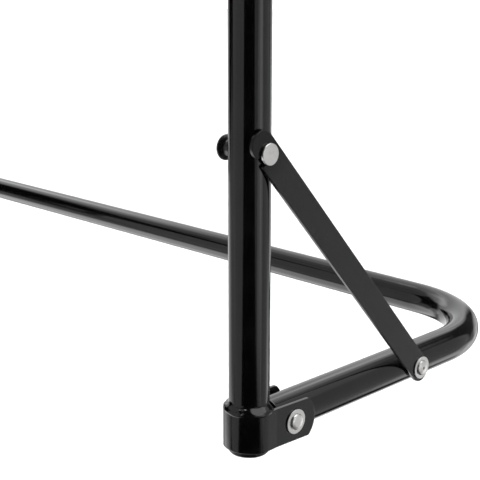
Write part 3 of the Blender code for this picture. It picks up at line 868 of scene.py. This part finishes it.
class RACK_OT_stays(RackPiece, bpy.types.Operator):
    """Adds the flat stays with their hook slots"""

    bl_idname = "rack.stays"
    bl_label = "Stays"

    def build(self, scene):
        settings = scene.rack_stay
        to_stud = (middle("stay_stud_left") - STAY_PIVOT)[1:]
        length = np.hypot(*to_stud)
        offset = settings.pivot_offset + settings.seat_offset
        lean = math.atan2(to_stud[1], to_stud[0]) + math.asin(offset / length)
        outline = stay_outline(settings, length, offset)
        along, up, depth = np.moveaxis(plate(outline, settings.sheet, settings.edge), -1, 0)
        y = along * math.cos(lean) - up * math.sin(lean)
        z = along * math.sin(lean) + up * math.cos(lean)
        skin = np.stack([depth, y, z], axis=-1)
        for name in SIDES:
            node = f"stay_{name}"
            place = joint_place(f"stay_{name}_swing")
            place[0] = middle(node)[0]
            piece(f"hook_stay_{name}", skin + place, node, "satin_black_paint", node, capped=True)


def stay_outline(settings, length, offset):
    """The stay laid along x from its pivot, with its back edge on the side of -y.

    The slot is laid out from the seat's centre, with n across it and d out of it: a wall at
    n = lip - seat radius on the hook's side, the seat's circle, and a wall at -(seat radius + play)
    joined to it by a quarter circle.
    """
    seat = np.array([math.sqrt(length ** 2 - offset ** 2), -offset])
    across = np.array([math.cos(settings.tilt), math.sin(settings.tilt)])
    out = np.array([math.sin(settings.tilt), -math.cos(settings.tilt)])
    front = settings.half_width - settings.pivot_offset
    back = -settings.half_width - settings.pivot_offset
    head = seat[0] + settings.head
    foot = -settings.foot
    radius = settings.seat

    def mouth(wall):
        start = seat + wall * across
        return (start + (back - start[1]) / out[1] * out)[0]

    slot = np.vstack([
        arc((0, 0), radius, math.acos(1 - settings.lip / radius), -math.pi / 2, 20),
        arc((-settings.play, 0), radius, -math.pi / 2, -math.pi, 16)])
    slot = seat + slot[:, :1] * across + slot[:, 1:] * out
    full = settings.half_width * 0.9999
    corners = [(head, front, full), (head, back, full), (mouth(radius - settings.lip), back, settings.tip)]
    corners += [(x, y, 0) for x, y in slot]
    corners += [(mouth(-radius - settings.play), back, settings.jaw), (foot, back, full), (foot, front, full)]
    return fillet(corners, True, math.radians(5))


class RACK_OT_stay_rivets(RackPiece, bpy.types.Operator):
    """Adds the blind rivets and washers that the stays turn on"""

    bl_idname = "rack.stay_rivets"
    bl_label = "Stay rivets"

    def build(self, scene):
        settings = scene.rack_fasteners
        for name, side in SIDES.items():
            node = f"stay_washer_{name}"
            washer(f"stay_ring_{name}", node, side, settings, settings.blind, "swing_frame")
            blind_rivet(f"stay_pop_rivet_{name}", f"stay_rivet_{name}", side * X, outer_face(node), settings,
                        "swing_frame")


def blind_rivet(name, node, axis, face, settings, body):
    """A blind rivet: a domed head with the mandrel's stub sunk in it, a shank and a bulb behind."""
    seat = face + HEAD_GAP
    centre = middle(node)
    place = centre + (seat - centre @ axis) * axis
    bottom, top = sorted(box_of(node) @ axis - seat)
    head = half_size(node)[np.abs(axis) < 0.5].max()
    stub, shank = settings.mandrel, settings.blind
    bulb = 1.5 * shank
    corners = [(0, 0.52 * top, 0), (0.6 * stub, 0.5 * top, 0.2), (0.97 * stub, 0.3 * top, 0.1),
               (1.02 * stub, 0.3 * top, 0), (1.12 * stub, top - 0.02, 0.12), (0.42 * head, 0.97 * top, 1.5),
               (0.86 * head, 0.62 * top, 1.4), (head, 0.22 * top, 0.2), (head, 0, 0.08), (shank, 0, 0),
               (shank, bottom + 4.5, 0.2), (bulb, bottom + 3.7, 0.4), (bulb, bottom + 2.0, 0.6),
               (0.8 * shank, bottom, 0.3), (0, bottom, 0)]
    turned(name, corners, place, axis, node, body)


class RACK_OT_studs(RackPiece, bpy.types.Operator):
    """Adds the headed studs that the stays hook over, and the pegs on their inner ends"""

    bl_idname = "rack.studs"
    bl_label = "Stay studs"

    def build(self, scene):
        settings = scene.rack_fasteners
        shank = settings.stud
        for name, side in SIDES.items():
            node = f"stay_stud_{name}"
            place = middle(node)
            place[0] = side * POST_X
            end, top = sorted(side * (box_of(node)[:, 0] - place[0]))
            head = half_size(node)[2]
            base = top - settings.stud_head
            corners = [(0, top, 0), (0.6 * head, top - 0.05, 5.0), (head - 0.25, top - 0.16, 0.3),
                       (head, top - 0.4, 0.2), (head - 0.1, base, 0.15), (shank, base, 0), (shank, end, 0.3),
                       (0, end, 0)]
            turned(f"stay_pin_{name}", corners, place, side * X, node, "rear_frame")
            peg(name, place, -side * X, shank + BORE_PLAY)


PEG = (
    # share of the flange's radius, share of the peg's height, rounding in mm
    (0, 1, 0), (0.5, 0.975, 5.0), (0.86, 0.88, 1.6), (1, 0.79, 0.5), (1, 0.68, 0.5), (0.86, 0.56, 1.0),
    (0.624, 0.43, 1.2), (0.624, 0, 0.2))
PEG_BORE = 0.69


def peg(name, place, axis, bore):
    """The flanged peg on a stud's inner end, with a blind bore."""
    node = f"stud_peg_{name}"
    tall, _, flange = half_size(node) * (2, 1, 1)
    near = np.abs(box_of(node)[:, 0] - place[0]).min()
    corners = [(r * flange, near + h * tall, rounding) for r, h, rounding in PEG]
    corners += [(bore, near, 0.1), (bore, near + PEG_BORE * tall, 0.2), (0, near + PEG_BORE * tall, 0)]
    turned(f"inner_peg_{name}", corners, place, axis, node, "rear_frame", "black_plastic")


class RACK_OT_wall_saddles(RackPiece, bpy.types.Operator):
    """Adds the strips that hold the posts off the wall, and the rivet in each"""

    bl_idname = "rack.wall_saddles"
    bl_label = "Wall saddles"

    def build(self, scene):
        settings = scene.rack_saddle
        strip_settings = scene.rack_bracket
        half = strip_settings.sheet / 2
        leg = TUBE_RADIUS + strip_settings.seat_gap + half
        foot_y = -POST_Y - half
        corners = [(-settings.foot, foot_y, 0), (-leg, foot_y, settings.bend + half), (-leg, 0, 0)]
        path = wrapped(corners, arc((0, 0), leg, math.pi, 2 * math.pi, 48))
        corner = settings.corner

        def shortened(height):
            """The quarter circles of the foot's two corners, as a length off its end."""
            past = np.clip(np.abs(height) - (strip_settings.half_height - corner), 0, corner)
            return corner - np.sqrt(corner ** 2 - past ** 2)

        skin = strip(path, strip_settings, shortened, fade=12.0, rows=33)
        for level in LEVELS:
            for name, side in SIDES.items():
                label = f"{level}_{name}"
                node = f"wall_saddle_{label}"
                place = middle(node)
                place[:2] = side * POST_X, POST_Y
                face = -box_of(node)[0][1]
                piece(f"saddle_strip_{label}", skin + place, "rear_frame", "satin_black_paint", node)
                blind_rivet(f"saddle_pop_rivet_{label}", f"saddle_rivet_{label}", -Y, face,
                            scene.rack_fasteners, "rear_frame")


class RACK_OT_wall_fixings(RackPiece, bpy.types.Operator):
    """Adds the screws through the saddles' feet"""

    bl_idname = "rack.wall_fixings"
    bl_label = "Wall screws"

    def build(self, scene):
        for level in LEVELS:
            for name in SIDES:
                for end in ("outer", "inner"):
                    screw(f"{level}_{name}_{end}", scene.rack_fasteners)


def screw(label, settings):
    """A pan head screw with a cross recess and a thread.

    The head and shank are grids over (length along the profile, angle). In the recess the surface is
    sunk by depth * exp(-(u / w)^4) for the nearer arm of the cross, u across it, fading out at the
    arms' ends. Over the shank the radius swells by a ridge that climbs one pitch a turn.
    """
    node = f"wall_screw_{label}"
    place = middle(node)
    place[1] = box_of(node)[0][1]
    head, length, _ = half_size(node) * (1, 2, 1)
    tall, core = settings.screw_head, settings.screw_core
    t = full_turn(96)
    dome = 0.94  # share of a half ball's radius that the head takes
    crown = np.linspace(0, 1, 40)[:, None]
    r = head * crown * 0.97 + 0 * t
    fall = (1 - np.sqrt(1 - (crown * dome) ** 2)) / (1 - math.sqrt(1 - dome ** 2))
    u, w = np.abs(r * np.cos(t)), np.abs(r * np.sin(t))
    arm = np.minimum(u, w) / 0.55
    reach = np.maximum(u, w) / 2.3
    sunk = settings.recess * np.exp(-arm ** 4) * np.exp(-reach ** 6) * np.clip(1.15 - 0.5 * reach, 0, 1)
    h = -0.62 * tall * fall - sunk
    side_r = np.array([0.995, 1.0, 1.0, 0.985])[:, None] * head + 0 * t
    side_h = -np.array([0.68, 0.78, 0.97, 1.0])[:, None] * tall + 0 * t
    down = np.linspace(0, length - tall, 300)[:, None]
    point = np.clip((length - tall - down) / 5.0, 0, 1) ** 0.7
    phase = (down / settings.pitch - t / (2 * np.pi)) % 1.0
    ridge = np.clip(1 - np.abs(phase - 0.5) / 0.28, 0, 1) * settings.thread * point
    threaded = np.clip((down - 3.0) / 1.0, 0, 1)
    shank_r = core * point + ridge * threaded + (1 - threaded) * settings.thread
    r = np.vstack([r, side_r, shank_r])
    h = np.vstack([h, side_h, -tall - down + 0 * t])
    skin = np.stack([r * np.cos(t), -h, r * np.sin(t)], axis=-1) + place
    piece(f"pan_screw_{label}", skin, "rear_frame", "zinc_plate", node)


# Stage


STUDIO_LIGHT = (
    # heading, pitch, inner and outer angle, brightness
    (-60, 78, 23, 31, 4.6),
    (-32, 3, 29, 39, 1.18),
    (-63, 29, 5, 12, 1.2),
    (-5, 28, 6, 20, 1.6),
    (-24, 44, 5, 20, 1.1),
    (-52, 42, 3, 14, 0.7),
    (-65, 43, 8, 16, 1.4),
    (-94, 48, 4, 11, 0.7),
    (-80, -6, 4, 16, 1),
    (-94, -12, 4, 16, 0.4),
    (-92, 20, 16, 28, 0.08),
    (30, 55, 22, 27, 0.6),
    (200, 48, 14, 22, 2.2),
    (-123, 44, 10, 17, 0.85),
    (-138, 0, 30, 36, 0.6),
    (193, -10, 13, 18, 0.6),
    (182, 0, 20, 24, 0.5),
    (71, 5, 33, 36, 0.64),
    (4, -20, 7, 14, 0.9),
    (29, -24, 12, 22, 0.55),
    (20, -60, 29, 40, 2),
    (-60, -41, 6, 17, 1.2),
    (-84, -27, 7, 15, 1.1),
    (-104, -28, 7, 15, 1.3),
    (-115, -38, 7, 15, 0.65),
)


class RACK_OT_stage(RackPiece, bpy.types.Operator):
    """Adds the floor, the studio light and the camera"""

    bl_idname = "rack.stage"
    bl_label = "Stage"

    def build(self, scene):
        settings = scene.rack_stage
        scene.view_settings.view_transform = "Standard"
        wide, drop = settings.floor_reach, settings.floor_drop
        corners = [(-wide, -wide, -drop), (wide, -wide, -drop), (wide, wide, -drop), (-wide, wide, -drop)]
        stage_piece("floor", corners, [(0, 1, 2, 3)], settings, 3, ["glossy"], {"Specular IOR Level": 0.0})
        backdrop(settings)
        studio(scene)
        camera(scene, settings)


def stage_piece(name, points, faces, settings, scale, unseen, values):
    """A pale plain piece of the studio, which the named kinds of ray don't see."""
    mesh = bpy.data.meshes.new(name)
    mesh.from_pydata(points, [], faces)
    obj = add_object(name, mesh)
    nodes = Nodes(bpy.data.materials.new(f"{name}_pale"))
    base = tuple(settings.floor)
    tint = nodes.mix(nodes.noise(scale, 2), base, lighter(base, 0.99))
    mesh.materials.append(nodes.finish({"Base Color": tint, "Roughness": 0.8, **values}))
    for ray in unseen:
        setattr(obj, f"visible_{ray}", False)


def backdrop(settings):
    """A pale dome that only the camera sees: R cos e cos a, R cos e sin a and R sin e above the floor."""
    wide = settings.floor_reach
    rows, columns = 14, 64
    a = full_turn(columns)
    e = np.linspace(0, 0.49 * np.pi, rows)[:, None]
    height = wide * np.sin(e) - settings.floor_drop + 0 * a
    dome = np.stack([wide * np.cos(e) * np.cos(a), wide * np.cos(e) * np.sin(a), height], axis=-1)
    stage_piece("backdrop", dome.reshape(-1, 3).tolist(), grid_faces(rows, columns, False).tolist(), settings,
                0.1, ["diffuse", "glossy", "transmission", "shadow"], {"Emission Strength": 1.0})


def studio(scene):
    """The surroundings: the sum of round patches of light, each soft from its inner to its outer angle."""
    scene.world = bpy.data.worlds.new("studio")
    nodes = Nodes(scene.world, "Background", "Generated")
    total = None
    for *angles, brightness in STUDIO_LIGHT:
        a, e, inner, outer = np.radians(angles)
        towards = (math.cos(a) * math.cos(e), math.sin(a) * math.cos(e), math.sin(e))
        facing = nodes.vector("DOT_PRODUCT", nodes.place, towards)
        patch = nodes.ramp(facing, math.cos(outer), math.cos(inner), 0.0, brightness)
        total = nodes.plus(total, patch) if total else patch
    nodes.finish({"Color": total})


def camera(scene, settings):
    data = bpy.data.cameras.new("camera")
    data.lens = settings.lens
    data.sensor_width = 36
    data.clip_end = 200
    scene.camera = add_object("camera", data)
    scene.camera.location = settings.camera_place
    scene.camera.rotation_euler = (math.pi / 2 - settings.camera_pitch, 0, settings.camera_turn)


# Panel and registration


OPERATORS = (
    RACK_OT_rear_frame, RACK_OT_swing_frame, RACK_OT_hinge_brackets, RACK_OT_hinge_rivets, RACK_OT_post_caps,
    RACK_OT_stays, RACK_OT_stay_rivets, RACK_OT_studs, RACK_OT_wall_saddles, RACK_OT_wall_fixings,
    RACK_OT_stage)


class RACK_PT_panel(bpy.types.Panel):
    """Lists the rack's pieces and stage"""

    bl_idname = "RACK_PT_panel"
    bl_label = "Wall drying rack"
    bl_space_type = "VIEW_3D"
    bl_region_type = "UI"
    bl_category = "Rack"

    def draw(self, context):
        for operator in OPERATORS:
            self.layout.operator(operator.bl_idname)


def register():
    for settings in SETTINGS.values():
        bpy.utils.register_class(settings)
    for name, settings in SETTINGS.items():
        setattr(bpy.types.Scene, name, bpy.props.PointerProperty(type=settings))
    for shown in (*OPERATORS, RACK_PT_panel):
        bpy.utils.register_class(shown)


def unregister():
    for shown in (RACK_PT_panel, *reversed(OPERATORS)):
        bpy.utils.unregister_class(shown)
    for name in SETTINGS:
        delattr(bpy.types.Scene, name)
    for settings in reversed(SETTINGS.values()):
        bpy.utils.unregister_class(settings)


def main():
    register()
    bpy.ops.rack.rear_frame()
    bpy.ops.rack.swing_frame()
    bpy.ops.rack.hinge_brackets()
    bpy.ops.rack.hinge_rivets()
    bpy.ops.rack.post_caps()
    bpy.ops.rack.stays()
    bpy.ops.rack.stay_rivets()
    bpy.ops.rack.studs()
    bpy.ops.rack.wall_saddles()
    bpy.ops.rack.wall_fixings()
    bpy.ops.rack.stage()


if __name__ == "__main__":
    main()
